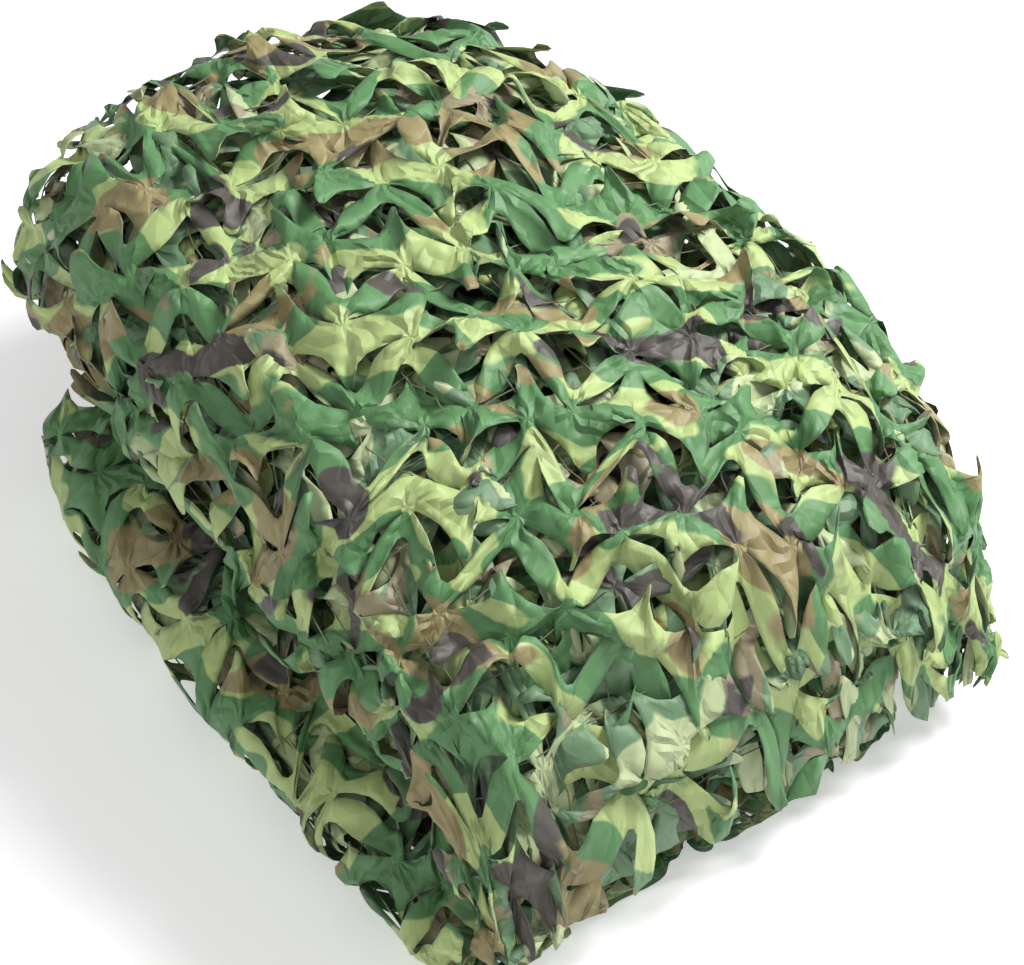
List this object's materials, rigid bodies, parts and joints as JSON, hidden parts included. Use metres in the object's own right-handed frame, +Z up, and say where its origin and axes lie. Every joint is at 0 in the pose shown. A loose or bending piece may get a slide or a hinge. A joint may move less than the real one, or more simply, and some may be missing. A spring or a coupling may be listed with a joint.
{
  "type": "folded camouflage net",
  "caption": "Leaf-cut woodland camouflage net folded back and forth into a thick rounded bundle, resting on the floor, its cut cloth tied over a thin cord net.",
  "frame": {"origin": "on the floor under the middle of the bundle's bounding box", "axes": "+X along the folds toward the end that droops to the floor, +Y across the folds away from the lower lobe, +Z up"},
  "size_m": [0.5722, 0.463, 0.2596],
  "materials": {
    "garnish_cloth": "satin",
    "cord_net": "matte"
  },
  "bodies": {
    "root": {"garnish_cloth": "garnish_cloth", "cord_net": "cord_net"}
  },
  "joints": []
}
